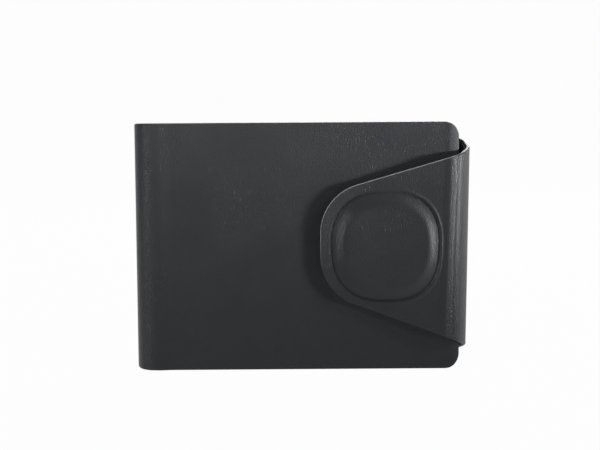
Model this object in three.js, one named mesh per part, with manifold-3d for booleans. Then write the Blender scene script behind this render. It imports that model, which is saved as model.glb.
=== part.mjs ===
// Card wallet: a moulded leather fold whose flap comes round the open edge and is held by a magnet.
//
// Seen from above, the outside is one strip of hide laid out in straight runs and bends: front cover,
// spine, back cover, the side of the flap and its tongue. Every leather piece is a stretch of that
// folded path, and the linings and card slots are layers laid inside it, so all of them follow the
// same few sizes. Each body that moves is a group whose origin lies on its fold line.
//
// Frame: X to the right, Y from the front cover to the back cover, Z up. Millimetres and radians.

import * as THREE from "three";
import { mergeVertices } from "three/addons/utils/BufferGeometryUtils.js";
import solidModeller from "manifold-3d";

const modeller = await solidModeller();
modeller.setup();
const { Manifold, Mesh } = modeller;

const { cos, sin, tan, sqrt, abs, PI } = Math;
const degrees = THREE.MathUtils.degToRad;

// Covers
const HEIGHT = 84;
const FRONT_RUN = 97.6; // flat length of the front cover between the spine and its curled edge
const SPINE_RADIUS = 9; // outside
const CURL_RADIUS = 6; // the free edge of the front cover curls in by this bend
const CURL_ANGLE = degrees(35);
const CORNER_RADIUS = 5.5;
const CENTRE_GAP = 2.2; // between the two card stacks at the open edge

// Sheet thicknesses
const HIDE = 1.2;
const BOARD = 0.5;
const LINING = 0.5;
const PANEL = 0.7;
const SLOT = 0.6;

// Clearances
const GLUE = 0.1; // between sheets that are bonded face to face
const FOLD_GAP = 0.3; // between pieces that meet at a fold line
const SEAT_GAP = 0.3; // round a piece set into a window
const NOTE_GAP = 0.8; // the banknote pocket, empty
const CARD_GAP = 0.2; // between card slots, empty

// Card stack, the same in both halves
const STACK_SIDE_MARGIN = 2; // from the bends at either end of a cover
const STACK_FOOT = 1; // height of the lower edge
const PANEL_HEIGHT = 79;
const PANEL_CORNER = 4;
const SEAM = 4; // lower margin of the panel, bonded to the cover lining to close the note pocket
const SEAM_SLOPE = 3; // height over which the panel leaves the seam
const SLOT_COUNT = 3;
const FIRST_SLOT_HEIGHT = 67;
const SLOT_STEP = 12;
const SLOT_CORNER = 3;
const SLOT_INSET = 1; // slots end this far inside the panel
const BOARD_MARGIN = 3;

// Flap
const FLAP_WIDTH = 60.8; // across the front crease
const TOP_TAPER = degrees(16.2);
const BOTTOM_TAPER = degrees(19.7);
const TONGUE_RUN = 43.5; // from the front crease to the tip
const TONGUE_TILT = degrees(3); // the tongue leans towards its tip
const TIP_RADIUS = 17;
const TIP_CLEARANCE = 0.4; // lining to front cover, at the tip
const EDGE_CLEARANCE = 1.2; // flap lining to the free edge of the front cover
const SHOULDER_RADIUS = 40; // where the edges of the back cover turn into the taper of the flap
const BEND_RADIUS = 6; // outside, both bends of the flap
const FLAP_LINING_INSET = 0.5;

// Magnet dome on the tongue
const DOME_LENGTH = 35; // along the tongue
const DOME_WIDTH = 36.4;
const DOME_RISE = 1.5;
const SHOULDER_WIDTH = 4.2; // from the foot to the flat top
const SKIVE = 0.4; // the hide is thinner by this much over the insert
const HOLLOW_MARGIN = 0.6; // foot of the hollow inside the foot of the dome
const DOME_SQUARENESS = 2.5; // exponent of the superellipse in plan
const DOME_CENTRE = 21.9; // from the front crease
const DOME_LIFT = 0.6; // centre above mid height
const INSERT_MARGIN = 2; // rim of the insert inside the foot of the dome
const INSERT_CLEARANCE = 0.3;
const MAGNET_RADIUS = 11;
const MAGNET_THICKNESS = 1.1;
const YOKE_THICKNESS = 0.5;
const KEEPER_RADIUS = 13;

// Facets
const BEND_STEP = degrees(11.5);
const CORNER_STEPS = 6;
const OUTLINE_STEP = 2.6;
const DOME_RINGS = [0, 0.3, 0.55, 0.7, 0.77, 0.81, 0.85, 0.89, 0.93, 0.97, 1];
const SKIRT_RINGS = [0.2, 0.45, 0.65, 0.85, 1];
const ROUND_SEGMENTS = 48;

// Sizes that follow from the ones above
const FLAP_THICKNESS = HIDE + GLUE + LINING;
const LINING_DEPTH = HIDE + GLUE + BOARD + GLUE;
const PANEL_DEPTH = LINING_DEPTH + LINING + NOTE_GAP;
const SLOTS_DEPTH = PANEL_DEPTH + PANEL + GLUE;
const STACK = SLOTS_DEPTH + SLOT_COUNT * SLOT + (SLOT_COUNT - 1) * CARD_GAP;
const MOUTH = 2 * STACK + CENTRE_GAP; // thickness at the open edge
const WEDGE = Math.atan2(2 * SPINE_RADIUS - MOUTH, FRONT_RUN); // the back cover closes in by this angle

// Leather and the other finishes
function finish(color, roughness, metalness = 0) {
  return new THREE.MeshStandardMaterial({ color, roughness, metalness });
}
const blackLeather = finish(0x333436, 0.55);
const slotLeather = finish(0x2b2c2e, 0.6);
const liningCloth = finish(0x1d1e20, 0.9);
const fibreBoard = finish(0x4a4038, 0.95);
const foam = finish(0x2a2a2c, 0.9);
const magnetNickel = finish(0xb9bcc0, 0.3, 1);
const plainSteel = finish(0x8d9195, 0.4, 1);

// The folded path. It is measured along the outer face of the hide, turns right at every bend, and
// has the outside of the wallet on its left. A move is a straight run or a bend of radius and turn.
const outward = (heading) => new THREE.Vector2(-sin(heading), cos(heading));

function advance(from, radius, distance) {
  if (!radius) {
    const { x, y, heading } = from;
    return { x: x + distance * cos(heading), y: y + distance * sin(heading), heading };
  }
  const heading = from.heading - distance / radius;
  const chord = outward(heading).sub(outward(from.heading)).multiplyScalar(radius);
  return { x: from.x + chord.x, y: from.y + chord.y, heading };
}

function foldedPath(start, moves) {
  const pieces = [];
  let length = 0;
  let here = start;
  for (const { run = 0, radius = 0, turn = 0 } of moves) {
    const span = run + radius * turn;
    pieces.push({ from: length, to: length + span, radius, turn, here });
    here = advance(here, radius, span);
    length += span;
  }
  const at = (s) => {
    const piece = pieces.findLast((p) => s >= p.from) ?? pieces[0];
    return advance(piece.here, piece.radius, s - piece.from);
  };
  const place = (s, depth, z) => {
    const { x, y, heading } = at(s);
    const out = outward(heading);
    return new THREE.Vector3(x - depth * out.x, y - depth * out.y, z);
  };
  return { pieces, at, place };
}

const backRunEnd = FRONT_RUN + CURL_RADIUS * sin(CURL_ANGLE) + EDGE_CLEARANCE + FLAP_THICKNESS;
const backRun =
  (backRunEnd - BEND_RADIUS * (1 - sin(WEDGE)) - SPINE_RADIUS * sin(WEDGE)) / cos(WEDGE);
const backBendDepth = SPINE_RADIUS * (1 + cos(WEDGE)) - backRun * sin(WEDGE);
const creaseDepth = -TIP_CLEARANCE - FLAP_THICKNESS * cos(TONGUE_TILT) - TONGUE_RUN * sin(TONGUE_TILT);
const sideRun = backBendDepth - BEND_RADIUS * (cos(WEDGE) + cos(TONGUE_TILT)) - creaseDepth;

// The path starts at the free edge of the front cover, with the spine's first tangent at x = 0, y = 0.
const hide = foldedPath(
  {
    x: FRONT_RUN + CURL_RADIUS * sin(CURL_ANGLE),
    y: CURL_RADIUS * (1 - cos(CURL_ANGLE)),
    heading: PI + CURL_ANGLE,
  },
  [
    { radius: CURL_RADIUS, turn: CURL_ANGLE },
    { run: FRONT_RUN },
    { radius: SPINE_RADIUS, turn: PI + WEDGE },
    { run: backRun },
    { radius: BEND_RADIUS, turn: PI / 2 - WEDGE },
    { run: sideRun },
    { radius: BEND_RADIUS, turn: PI / 2 + TONGUE_TILT },
    { run: TONGUE_RUN },
  ],
);
const [, front, spine, back, backBend, , frontBend, tongue] = hide.pieces;
const rootFold = (backBend.from + backBend.to) / 2;
const frontFold = (frontBend.from + frontBend.to) / 2;
const frontCrease = tongue.from;
const middle = HEIGHT / 2;

// Edges of the hide, as heights along the path. The taper of the flap runs on to the back cover.
const flapHigh = (s) => middle + FLAP_WIDTH / 2 + tan(TOP_TAPER) * (frontCrease - s);
const flapLow = (s) => middle - FLAP_WIDTH / 2 - tan(BOTTOM_TAPER) * (frontCrease - s);
const cornerDrop = (s, radius) => (s < radius ? radius - sqrt(radius ** 2 - (radius - s) ** 2) : 0);
const shoulders = [
  { reach: HEIGHT - middle - FLAP_WIDTH / 2, taper: TOP_TAPER },
  { reach: middle - FLAP_WIDTH / 2, taper: BOTTOM_TAPER },
].map(({ reach, taper }) => {
  const from = frontCrease - reach / tan(taper) - SHOULDER_RADIUS * tan(taper / 2);
  return { from, to: from + SHOULDER_RADIUS * sin(taper) };
});
const turnDrop = (s, { from, to }) => {
  const along = THREE.MathUtils.clamp(s, from, to) - from;
  return cornerDrop(SHOULDER_RADIUS - along, SHOULDER_RADIUS);
};
const hideHigh = (s) =>
  s < shoulders[0].to ? HEIGHT - cornerDrop(s, CORNER_RADIUS) - turnDrop(s, shoulders[0]) : flapHigh(s);
const hideLow = (s) =>
  s < shoulders[1].to ? cornerDrop(s, CORNER_RADIUS) + turnDrop(s, shoulders[1]) : flapLow(s);
const shoulderSteps = shoulders.flatMap(({ from, to }) =>
  Array.from({ length: CORNER_STEPS + 1 }, (_, i) => from + ((to - from) * i) / CORNER_STEPS),
);

// Steps along a rounded corner of the given radius, as distances from its edge.
const cornerSteps = (radius) =>
  Array.from({ length: CORNER_STEPS + 1 }, (_, i) => radius * (1 - cos((PI / 2) * (i / CORNER_STEPS))));

// Places along the path where a sheet has a row of vertices: its ends, bends and outline corners.
function stations(from, to, extra = []) {
  const marks = [from, to, ...extra];
  for (const { from: start, to: end, turn } of hide.pieces) {
    const steps = turn ? Math.ceil(turn / BEND_STEP) : 1;
    for (let i = 0; i <= steps; i++) marks.push(start + ((end - start) * i) / steps);
  }
  const inside = marks.filter((s) => s >= from && s <= to).sort((a, b) => a - b);
  return inside.filter((s, i) => i === 0 || s - inside[i - 1] > 1e-3);
}

// A closed solid between two grids of points. Rows run along the path and columns go up, or right
// round when the grid is closed. Triangles that have shrunk to nothing, as at a centre, are left out.
function solidBetween(outer, inner, closed = false) {
  const rows = outer.length;
  const columns = outer[0].length;
  const points = [];
  const triangle = (...corners) => {
    const [a, b, c] = corners;
    if (a.distanceTo(b) > 1e-6 && b.distanceTo(c) > 1e-6 && c.distanceTo(a) > 1e-6) points.push(...corners);
  };
  const quad = (a, b, c, d) => {
    triangle(a, b, c);
    triangle(a, c, d);
  };
  for (let i = 0; i < rows; i++) {
    for (let j = 0; j < (closed ? columns : columns - 1); j++) {
      const k = (j + 1) % columns;
      if (i === 0) quad(outer[0][k], outer[0][j], inner[0][j], inner[0][k]);
      if (i === rows - 1) {
        quad(outer[i][j], outer[i][k], inner[i][k], inner[i][j]);
        continue;
      }
      quad(outer[i][j], outer[i][k], outer[i + 1][k], outer[i + 1][j]);
      quad(inner[i][k], inner[i][j], inner[i + 1][j], inner[i + 1][k]);
    }
    if (closed || i === rows - 1) continue;
    const top = columns - 1;
    quad(outer[i + 1][0], inner[i + 1][0], inner[i][0], outer[i][0]);
    quad(outer[i][top], inner[i][top], inner[i + 1][top], outer[i + 1][top]);
  }
  const geometry = new THREE.BufferGeometry().setFromPoints(points);
  geometry.computeVertexNormals();
  return geometry;
}

// A sheet that follows the path between two depths, trimmed to the heights low(s) and high(s).
function foldedSheet(steps, nearDepth, farDepth, low, high) {
  const face = (depth) => steps.map((s) => [hide.place(s, depth, low(s)), hide.place(s, depth, high(s))]);
  return solidBetween(face(nearDepth), face(farDepth));
}

// Joins closed solids that share a face or overlap into one.
function joined(...geometries) {
  const solids = geometries.map((geometry) => {
    const bare = new THREE.BufferGeometry().setAttribute("position", geometry.getAttribute("position"));
    const welded = mergeVertices(bare, 1e-4);
    const vertProperties = welded.getAttribute("position").array;
    return new Manifold(new Mesh({ numProp: 3, vertProperties, triVerts: welded.getIndex().array }));
  });
  const { vertProperties, triVerts } = Manifold.union(solids).getMesh();
  const geometry = new THREE.BufferGeometry();
  geometry.setAttribute("position", new THREE.BufferAttribute(vertProperties, 3));
  geometry.setIndex(new THREE.BufferAttribute(triVerts, 1));
  geometry.computeVertexNormals();
  return geometry;
}

const wallet = new THREE.Group();
const model = new THREE.Group();
wallet.add(model);

function addPiece(name, geometry, material, carrier = model) {
  const mesh = new THREE.Mesh(geometry, material);
  mesh.name = name;
  carrier.add(mesh);
  return mesh;
}

// A group that lies on a flat stretch of the path: its X follows the path and its Y points outward.
function flatFrame(s) {
  const { x, y, heading } = hide.at(s);
  const frame = new THREE.Group();
  frame.position.set(x, y, 0);
  frame.rotation.z = heading;
  model.add(frame);
  return frame;
}

// A flat plate in such a group: the shape's axes become X and Z, and the plate starts at a depth.
function plate(shape, depth, thickness) {
  const options = { depth: thickness, bevelEnabled: false, curveSegments: CORNER_STEPS };
  return new THREE.ExtrudeGeometry(shape, options).rotateX(PI / 2).translate(0, -depth, 0);
}

function roundedRectangle(x0, z0, x1, z1, radius) {
  const shape = new THREE.Shape();
  shape.absarc(x0 + radius, z0 + radius, radius, PI, 1.5 * PI);
  shape.absarc(x1 - radius, z0 + radius, radius, 1.5 * PI, 2 * PI);
  shape.absarc(x1 - radius, z1 - radius, radius, 0, PI / 2);
  shape.absarc(x0 + radius, z1 - radius, radius, PI / 2, PI);
  return shape;
}

function roundHole(x, z, radius) {
  const circle = new THREE.EllipseCurve(x, z, radius, radius, 0, 2 * PI, true);
  return new THREE.Path(circle.getPoints(ROUND_SEGMENTS));
}

// Outer hide, from the front cover round to the side of the flap
addPiece(
  "front_cover",
  foldedSheet(stations(0, front.to - FOLD_GAP, cornerSteps(CORNER_RADIUS)), 0, HIDE, hideLow, hideHigh),
  blackLeather,
);
addPiece("spine", foldedSheet(stations(spine.from, spine.to), 0, HIDE, hideLow, hideHigh), blackLeather);
addPiece(
  "back_cover",
  foldedSheet(
    stations(back.from + FOLD_GAP, rootFold - FOLD_GAP / 2, shoulderSteps),
    0,
    HIDE,
    hideLow,
    hideHigh,
  ),
  blackLeather,
);
addPiece(
  "flap_side",
  foldedSheet(stations(rootFold + FOLD_GAP / 2, frontFold - FOLD_GAP / 2), 0, HIDE, flapLow, flapHigh),
  blackLeather,
);

// Linings of the spine and of the flap's side
const liningTop = () => HEIGHT - STACK_FOOT;
const liningFoot = () => STACK_FOOT;
const flapLiningHigh = (s) => flapHigh(s) - FLAP_LINING_INSET / cos(TOP_TAPER);
const flapLiningLow = (s) => flapLow(s) + FLAP_LINING_INSET / cos(BOTTOM_TAPER);
addPiece(
  "spine_lining",
  foldedSheet(stations(spine.from, spine.to), HIDE + GLUE, HIDE + GLUE + LINING, liningFoot, liningTop),
  liningCloth,
);
addPiece(
  "flap_side_lining",
  foldedSheet(
    stations(rootFold + FOLD_GAP, frontFold - FOLD_GAP),
    HIDE + GLUE,
    FLAP_THICKNESS,
    flapLiningLow,
    flapLiningHigh,
  ),
  liningCloth,
);

// The tongue. Past its half of the front bend, its pieces are grids of rings in the flat pattern, u along
// the path and z up: rings of the dome grow from its centre, and skirt rings go on from the dome's foot
// to the tongue's outline.
const domeCentre = new THREE.Vector2(frontCrease + DOME_CENTRE, middle + DOME_LIFT);

function steppedLine(a, b) {
  const steps = Math.ceil(a.distanceTo(b) / OUTLINE_STEP);
  return Array.from({ length: steps }, (_, i) => a.clone().lerp(b, i / steps));
}

function steppedArc(centre, radius, start, end) {
  const steps = Math.ceil((abs(end - start) * radius) / OUTLINE_STEP);
  const angle = (i) => start + ((end - start) * i) / steps;
  return Array.from({ length: steps }, (_, i) =>
    new THREE.Vector2(cos(angle(i)), sin(angle(i))).multiplyScalar(radius).add(centre),
  );
}

// Outline of the tongue from the front crease round the tip and back, its free edges drawn in by inset.
// The taper lines run into the tip by an arc that touches the line and the end of the tongue.
function tongueOutline(inset) {
  const end = frontCrease + TONGUE_RUN - inset;
  const radius = TIP_RADIUS - inset;
  const start = frontCrease;
  const high = (u) => flapHigh(u) - inset / cos(TOP_TAPER);
  const low = (u) => flapLow(u) + inset / cos(BOTTOM_TAPER);
  const centreU = end - radius;
  const top = new THREE.Vector2(centreU, high(centreU) - radius / cos(TOP_TAPER));
  const bottom = new THREE.Vector2(centreU, low(centreU) + radius / cos(BOTTOM_TAPER));
  const onTop = new THREE.Vector2(sin(TOP_TAPER), cos(TOP_TAPER)).multiplyScalar(radius).add(top);
  const onBottom = new THREE.Vector2(sin(BOTTOM_TAPER), -cos(BOTTOM_TAPER))
    .multiplyScalar(radius)
    .add(bottom);
  const rootTop = new THREE.Vector2(start, high(start));
  const rootBottom = new THREE.Vector2(start, low(start));
  const tipTop = new THREE.Vector2(end, top.y);
  const tipBottom = new THREE.Vector2(end, bottom.y);
  return [
    ...steppedLine(rootTop, rootBottom),
    ...steppedLine(rootBottom, onBottom),
    ...steppedArc(bottom, radius, BOTTOM_TAPER - PI / 2, 0),
    ...steppedLine(tipBottom, tipTop),
    ...steppedArc(top, radius, 0, PI / 2 - TOP_TAPER),
    ...steppedLine(onTop, rootTop),
  ];
}

// Share of the way from the dome's centre to its foot, for a superellipse of these half sizes.
function domeShare(point, margin) {
  const along = abs(point.x - domeCentre.x) / (DOME_LENGTH / 2 - margin);
  const across = abs(point.y - domeCentre.y) / (DOME_WIDTH / 2 - margin);
  return (along ** DOME_SQUARENESS + across ** DOME_SQUARENESS) ** (1 / DOME_SQUARENESS);
}

// Section of the dome: nothing at the foot, an S-shaped shoulder, and a flat top.
function swelling(point, margin, rise) {
  const inside = (1 - domeShare(point, margin)) * (DOME_LENGTH + DOME_WIDTH) * 0.25;
  return rise * THREE.MathUtils.smoothstep(inside, 0, SHOULDER_WIDTH);
}
const domeRise = (point) => swelling(point, 0, DOME_RISE);
const hollowRise = (point) => swelling(point, HOLLOW_MARGIN, DOME_RISE + SKIVE);

const outlinePoints = tongueOutline(0);
const footPoint = (point) => domeCentre.clone().lerp(point, 1 / domeShare(point, 0));
const tongueRings = [
  ...DOME_RINGS.map((share) => outlinePoints.map((p) => domeCentre.clone().lerp(footPoint(p), share))),
  ...SKIRT_RINGS.map((share) => outlinePoints.map((p) => footPoint(p).lerp(p, share))),
];
const onPath = (rings, depthAt) => rings.map((ring) => ring.map((p) => hide.place(p.x, depthAt(p), p.y)));

addPiece(
  "flap_tongue",
  joined(
    foldedSheet(stations(frontFold + FOLD_GAP / 2, frontCrease), 0, HIDE, flapLow, flapHigh),
    solidBetween(
      onPath(tongueRings, (p) => -domeRise(p)),
      onPath(tongueRings, (p) => HIDE - hollowRise(p)),
      true,
    ),
  ),
  blackLeather,
);

const liningOutline = tongueOutline(FLAP_LINING_INSET);
const liningRings = [0, ...SKIRT_RINGS].map((share) =>
  liningOutline.map((p) => domeCentre.clone().lerp(p, share)),
);
addPiece(
  "flap_lining",
  joined(
    foldedSheet(
      stations(frontFold + FOLD_GAP, frontCrease),
      HIDE + GLUE,
      FLAP_THICKNESS,
      flapLiningLow,
      flapLiningHigh,
    ),
    solidBetween(
      onPath(liningRings, () => HIDE + GLUE),
      onPath(liningRings, () => FLAP_THICKNESS),
      true,
    ),
  ),
  liningCloth,
);

// The insert fills the dome and holds the magnet and its yoke in a round bore.
const boreRadius = MAGNET_RADIUS + SEAT_GAP;
const insertRings = [0, ...DOME_RINGS.filter((share) => share > 0.6)].map((share) =>
  Array.from({ length: ROUND_SEGMENTS }, (_, i) => {
    const angle = (2 * PI * i) / ROUND_SEGMENTS;
    const ray = new THREE.Vector2(cos(angle), sin(angle));
    const bore = ray.clone().multiplyScalar(boreRadius).add(domeCentre);
    const rim = domeCentre.clone().lerp(bore, 1 / domeShare(bore, INSERT_MARGIN));
    return bore.lerp(rim, share);
  }),
);
addPiece(
  "dome_insert",
  solidBetween(
    onPath(insertRings, (p) => HIDE + INSERT_CLEARANCE - hollowRise(p)),
    onPath(insertRings, () => HIDE),
    true,
  ),
  foam,
);

function disc(radius, depth, thickness, u, z) {
  return new THREE.CylinderGeometry(radius, radius, thickness, ROUND_SEGMENTS).translate(
    u,
    -depth - thickness / 2,
    z,
  );
}

const tongueFrame = flatFrame(frontCrease);
const yokeDepth = HIDE - MAGNET_THICKNESS - GLUE - YOKE_THICKNESS;
addPiece(
  "flap_magnet",
  disc(MAGNET_RADIUS, HIDE - MAGNET_THICKNESS, MAGNET_THICKNESS, DOME_CENTRE, domeCentre.y),
  magnetNickel,
  tongueFrame,
);
addPiece(
  "magnet_yoke",
  disc(MAGNET_RADIUS, yokeDepth, YOKE_THICKNESS, DOME_CENTRE, domeCentre.y),
  plainSteel,
  tongueFrame,
);

// Inside of one half: stiffening board, cover lining, card panel and card slots, from u0 to u1 in the
// frame of that cover. The board of the front half has a window for the keeper.
function addHalf(half, frame, u0, u1, window) {
  const boardShape = roundedRectangle(
    u0 + BOARD_MARGIN,
    BOARD_MARGIN,
    u1 - BOARD_MARGIN,
    HEIGHT - BOARD_MARGIN,
    PANEL_CORNER,
  );
  if (window) boardShape.holes.push(roundHole(window.x, window.y, KEEPER_RADIUS + SEAT_GAP));
  addPiece(`${half}_board`, plate(boardShape, HIDE + GLUE, BOARD), fibreBoard, frame);

  const liningShape = roundedRectangle(u0, STACK_FOOT, u1, HEIGHT - STACK_FOOT, PANEL_CORNER);
  addPiece(`${half}_lining`, plate(liningShape, LINING_DEPTH, LINING), liningCloth, frame);

  addPiece(`${half}_card_panel`, seamedPanel(u0, u1), slotLeather, frame);

  for (let i = 0; i < SLOT_COUNT; i++) {
    const top = FIRST_SLOT_HEIGHT - i * SLOT_STEP;
    const shape = roundedRectangle(u0 + SLOT_INSET, STACK_FOOT, u1 - SLOT_INSET, top, SLOT_CORNER);
    const depth = SLOTS_DEPTH + i * (SLOT + CARD_GAP);
    addPiece(`${half}_card_slot_${i + 1}`, plate(shape, depth, SLOT), slotLeather, frame);
  }
}

// The card panel leans out to the cover lining along its foot, where it is bonded.
function seamedPanel(u0, u1) {
  const corner = cornerSteps(PANEL_CORNER);
  const places = [...corner.map((d) => u0 + d), ...corner.map((d) => u1 - d).reverse()];
  const seamDepth = LINING_DEPTH + LINING + GLUE;
  const face = (thickness) =>
    places.map((u) => {
      const drop = cornerDrop(Math.min(u - u0, u1 - u), PANEL_CORNER);
      const low = STACK_FOOT + drop;
      const seamTop = STACK_FOOT + PANEL_CORNER + SEAM;
      const levels = [
        [low, seamDepth],
        [seamTop, seamDepth],
        [seamTop + SEAM_SLOPE, PANEL_DEPTH],
        [STACK_FOOT + PANEL_HEIGHT - drop, PANEL_DEPTH],
      ];
      return levels.map(([z, depth]) => new THREE.Vector3(u, -depth - thickness, z));
    });
  return solidBetween(face(0), face(PANEL));
}

const frontFrame = flatFrame(front.from);
const domeSpot = hide.place(domeCentre.x, 0, domeCentre.y);
const keeperSpot = new THREE.Vector2(FRONT_RUN - domeSpot.x, domeSpot.z);
addHalf("front", frontFrame, STACK_SIDE_MARGIN, FRONT_RUN - STACK_SIDE_MARGIN, keeperSpot);
addHalf("back", flatFrame(back.from), STACK_SIDE_MARGIN, FRONT_RUN - STACK_SIDE_MARGIN);
addPiece(
  "front_keeper",
  disc(KEEPER_RADIUS, HIDE + GLUE, BOARD, keeperSpot.x, keeperSpot.y),
  plainSteel,
  frontFrame,
);

// Bodies that move. Each turns about an upright line on the outer face of the hide.
function movingBody(name, foldAt, carrier, pieces) {
  const body = new THREE.Group();
  body.name = name;
  body.position.copy(hide.place(foldAt, 0, 0));
  model.add(body);
  model.updateMatrixWorld(true);
  carrier.attach(body);
  for (const piece of pieces) body.attach(model.getObjectByName(piece));
  return body;
}

const halfPieces = ["cover", "board", "lining", "card_panel"];
for (let i = 1; i <= SLOT_COUNT; i++) halfPieces.push(`card_slot_${i}`);
movingBody("front_half", front.to, model, [...halfPieces.map((piece) => `front_${piece}`), "front_keeper"]);
const flapSide = movingBody("flap_side_body", rootFold, model, ["flap_side", "flap_side_lining"]);
movingBody("flap_body", frontFold, flapSide, [
  "flap_tongue",
  "flap_lining",
  "dome_insert",
  "flap_magnet",
  "magnet_yoke",
]);

// The origin is the middle of the underside of the wallet's box.
const box = new THREE.Box3().setFromObject(model, true);
const centre = box.getCenter(new THREE.Vector3());
model.position.set(-centre.x, -centre.y, -box.min.z);

export default wallet;
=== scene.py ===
# %% [markdown]
# # A moulded leather card wallet
# The wallet is one strip of black hide, folded in plan into a front cover, a soft spine, a back cover and a
# flap that comes round the open edge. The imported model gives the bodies, the joints and the place of every
# layer. This lesson dresses it: each sheet of leather or cloth is worked out again as a fine surface with
# rounded edges, and the hidden hard pieces keep their solids and get better finishes.

import bmesh
import bpy
import numpy as np
from mathutils import Matrix, Vector


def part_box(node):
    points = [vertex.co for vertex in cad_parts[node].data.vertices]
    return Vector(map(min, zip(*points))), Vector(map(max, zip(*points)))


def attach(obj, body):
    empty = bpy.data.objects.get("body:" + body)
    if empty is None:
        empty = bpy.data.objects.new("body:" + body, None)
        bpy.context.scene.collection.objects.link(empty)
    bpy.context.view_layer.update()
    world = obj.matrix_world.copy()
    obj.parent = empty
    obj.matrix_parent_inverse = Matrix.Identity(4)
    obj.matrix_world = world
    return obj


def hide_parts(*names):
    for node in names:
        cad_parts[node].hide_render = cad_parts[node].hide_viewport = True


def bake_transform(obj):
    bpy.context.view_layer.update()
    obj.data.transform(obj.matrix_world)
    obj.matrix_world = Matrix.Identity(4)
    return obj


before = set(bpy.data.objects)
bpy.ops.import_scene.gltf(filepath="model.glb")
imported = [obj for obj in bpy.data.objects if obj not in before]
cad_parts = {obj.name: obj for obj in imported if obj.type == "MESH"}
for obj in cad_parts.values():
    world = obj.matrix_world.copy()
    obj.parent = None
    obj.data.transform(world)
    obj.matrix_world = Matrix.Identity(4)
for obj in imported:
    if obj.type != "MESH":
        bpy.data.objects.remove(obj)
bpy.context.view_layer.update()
METRE = 1000.0  # in millimetres, the unit of this lesson

# %% [markdown]
# ## Sizes
# A leather worker keeps a cutting list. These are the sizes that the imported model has, in millimetres and
# radians, so that every surface below lies where its solid is. They come first, because the folded path and
# the outlines both read them.

# %% Cutting list
HEIGHT = 84.0
FRONT_RUN = 97.6
SPINE_RADIUS = 9.0
CURL_RADIUS, CURL_ANGLE = 6.0, np.radians(35.0)
CORNER_RADIUS = 5.5
CENTRE_GAP = 2.2
HIDE, BOARD, LINING, PANEL, SLOT = 1.2, 0.5, 0.5, 0.7, 0.6
GLUE, NOTE_GAP, CARD_GAP = 0.1, 0.8, 0.2
SLOT_COUNT = 3

FLAP_WIDTH = 60.8
TOP_TAPER, BOTTOM_TAPER = np.radians(16.2), np.radians(19.7)
SHOULDER_RADIUS = 40.0
TONGUE_RUN, TONGUE_TILT = 43.5, np.radians(3.0)
TIP_RADIUS, TIP_CLEARANCE = 17.0, 0.4
EDGE_CLEARANCE = 1.2
BEND_RADIUS = 6.0

DOME_LENGTH, DOME_WIDTH, DOME_RISE = 35.0, 36.4, 1.5
DOME_SHOULDER, DOME_SKIVE, HOLLOW_MARGIN = 4.2, 0.4, 0.6
DOME_SQUARENESS = 2.5
DOME_CENTRE, DOME_LIFT = 21.9, 0.6

FLAP_THICKNESS = HIDE + GLUE + LINING
LINING_DEPTH = HIDE + GLUE + BOARD + GLUE
PANEL_DEPTH = LINING_DEPTH + LINING + NOTE_GAP
SLOTS_DEPTH = PANEL_DEPTH + PANEL + GLUE
STACK = SLOTS_DEPTH + SLOT_COUNT * SLOT + (SLOT_COUNT - 1) * CARD_GAP
WEDGE = np.arctan2(2 * SPINE_RADIUS - 2 * STACK - CENTRE_GAP, FRONT_RUN)
MIDDLE = HEIGHT / 2
print("stack of one half, mm:", round(STACK, 2), " wedge, degrees:", round(np.degrees(WEDGE), 2))

# %% [markdown]
# ## The folded path
# Seen from above, the hide is a line of straight runs and bends that always turn right. A point of any layer
# is then three numbers: the distance along that line, the depth under its outer face, and the height. Working
# in those numbers keeps the layers parallel through every bend, which moving flat sheets by hand would not.

# %% Runs and bends
back_end = FRONT_RUN + CURL_RADIUS * np.sin(CURL_ANGLE) + EDGE_CLEARANCE + FLAP_THICKNESS
back_run = (back_end - BEND_RADIUS * (1 - np.sin(WEDGE)) - SPINE_RADIUS * np.sin(WEDGE)) / np.cos(WEDGE)
bend_depth = SPINE_RADIUS * (1 + np.cos(WEDGE)) - back_run * np.sin(WEDGE)
crease_depth = -TIP_CLEARANCE - FLAP_THICKNESS * np.cos(TONGUE_TILT) - TONGUE_RUN * np.sin(TONGUE_TILT)
side_run = bend_depth - BEND_RADIUS * (np.cos(WEDGE) + np.cos(TONGUE_TILT)) - crease_depth
FRONT_TURN = np.pi / 2 + TONGUE_TILT

MOVES = np.array(  # run, radius, turn
    [
        (0, CURL_RADIUS, CURL_ANGLE),
        (FRONT_RUN, 0, 0),
        (0, SPINE_RADIUS, np.pi + WEDGE),
        (back_run, 0, 0),
        (0, BEND_RADIUS, np.pi / 2 - WEDGE),
        (side_run, 0, 0),
        (0, BEND_RADIUS, FRONT_TURN),
        (TONGUE_RUN, 0, 0),
    ]
)
print("runs of the back cover and the flap's side, mm:", round(back_run, 1), round(side_run, 1))


# %% Corners of the path
def ahead(heading):
    """Unit vector along a heading h: (cos h, sin h)."""
    return np.stack([np.cos(heading), np.sin(heading)], -1)


def outward(heading):
    """Unit vector on the left of a heading h, where the outside of the wallet is: (-sin h, cos h)."""
    return np.stack([-np.sin(heading), np.cos(heading)], -1)


STARTS = np.concatenate([[0], np.cumsum(MOVES[:, 0] + MOVES[:, 1] * MOVES[:, 2])])
HEADINGS = np.pi + CURL_ANGLE - np.concatenate([[0], np.cumsum(MOVES[:, 2])])
FRONT, SPINE, BACK, BACK_BEND, SIDE, FRONT_BEND, CREASE, TIP = STARTS[1:]
ROOT_FOLD, FRONT_FOLD = (BACK_BEND + SIDE) / 2, (FRONT_BEND + CREASE) / 2
COVER_HEADING, SIDE_HEADING, TONGUE_HEADING = HEADINGS[[2, 6, 7]]

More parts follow.
